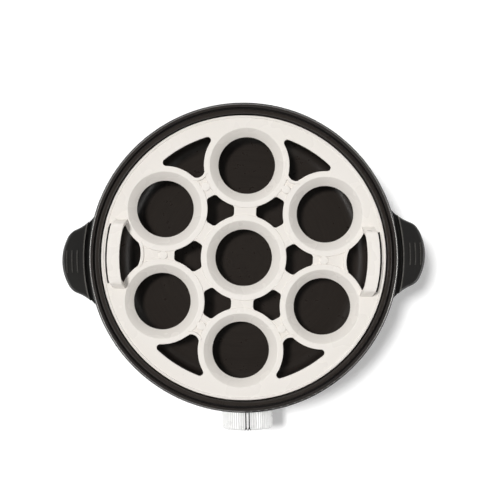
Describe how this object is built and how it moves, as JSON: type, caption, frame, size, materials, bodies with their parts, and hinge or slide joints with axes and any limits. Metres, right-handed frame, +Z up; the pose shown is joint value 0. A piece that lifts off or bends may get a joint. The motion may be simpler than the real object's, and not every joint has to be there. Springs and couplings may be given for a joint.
{
  "type": "egg cooker",
  "caption": "Round electric egg cooker: steel body, heating bowl, lift-out egg tray with handles, front knob, side handles and base on feet.",
  "frame": {"origin": "on the body's axis, at the surface that the feet stand on", "axes": "+Z up, -Y out of the front where the knob is, +X to the right handle as seen from the front"},
  "size_m": [0.182, 0.1665, 0.093],
  "materials": {
    "steel": "polished",
    "black_plastic": "satin",
    "rim_plastic": "satin",
    "bowl_coating": "satin non-stick",
    "white_plastic": "gloss",
    "silver_plastic": "bright metallised",
    "foot_rubber": "matt",
    "seal_rubber": "matt",
    "zinc_steel": "zinc plated",
    "element_aluminium": "cast",
    "ceramic": "matt",
    "control_plastic": "matt",
    "red_lens": "clear red",
    "lamp_glass": "clear",
    "block_plastic": "matt",
    "brass": "plain",
    "brown_lead": "matt",
    "blue_lead": "matt",
    "earth_lead": "matt",
    "white_lead": "matt"
  },
  "bodies": {
    "housing": {"base_cover": "black_plastic", "foot_rear_right": "foot_rubber", "foot_rear_left": "foot_rubber", "foot_front_left": "foot_rubber", "foot_front_right": "foot_rubber", "body_shell": "steel", "rim_ring": "rim_plastic", "bowl_seal": "seal_rubber", "heating_bowl": "bowl_coating", "spacer_sleeves": "zinc_steel", "chassis_plate": "zinc_steel", "stud_nuts": "zinc_steel", "chassis_nuts": "zinc_steel", "base_screws": "zinc_steel", "heating_element": "element_aluminium", "thermostat": "ceramic", "thermostat_clip": "zinc_steel", "thermal_fuse": "ceramic", "fuse_clip": "zinc_steel", "control_unit": "control_plastic", "control_nut": "zinc_steel", "dial_plate": "black_plastic", "indicator_lens": "red_lens", "indicator_lamp": "lamp_glass", "handle_right": "black_plastic", "handle_left": "black_plastic", "handle_screws": "zinc_steel", "cord_gland": "black_plastic", "gland_nut": "black_plastic", "terminal_block": "block_plastic", "terminal_screws": "brass", "lead_live": "brown_lead", "lead_switched": "brown_lead", "lead_fuse": "white_lead", "lead_heater": "white_lead", "lead_neutral": "blue_lead", "lead_earth": "earth_lead", "lead_lamp": "white_lead"},
    "knob": {"control_knob": "silver_plastic", "control_shaft": "zinc_steel"},
    "tray": {"egg_tray": "white_plastic"}
  },
  "joints": [
    {"name": "knob_turn", "type": "hinge", "parent": "housing", "child": "knob", "pos_m": [0, -0.0787, 0.038], "axis": [0, -1, 0], "range_deg": [-135, 135]},
    {"name": "tray_lift", "type": "slide", "parent": "housing", "child": "tray", "axis": [0, 0, 1], "range_m": [0, 0.06]}
  ]
}
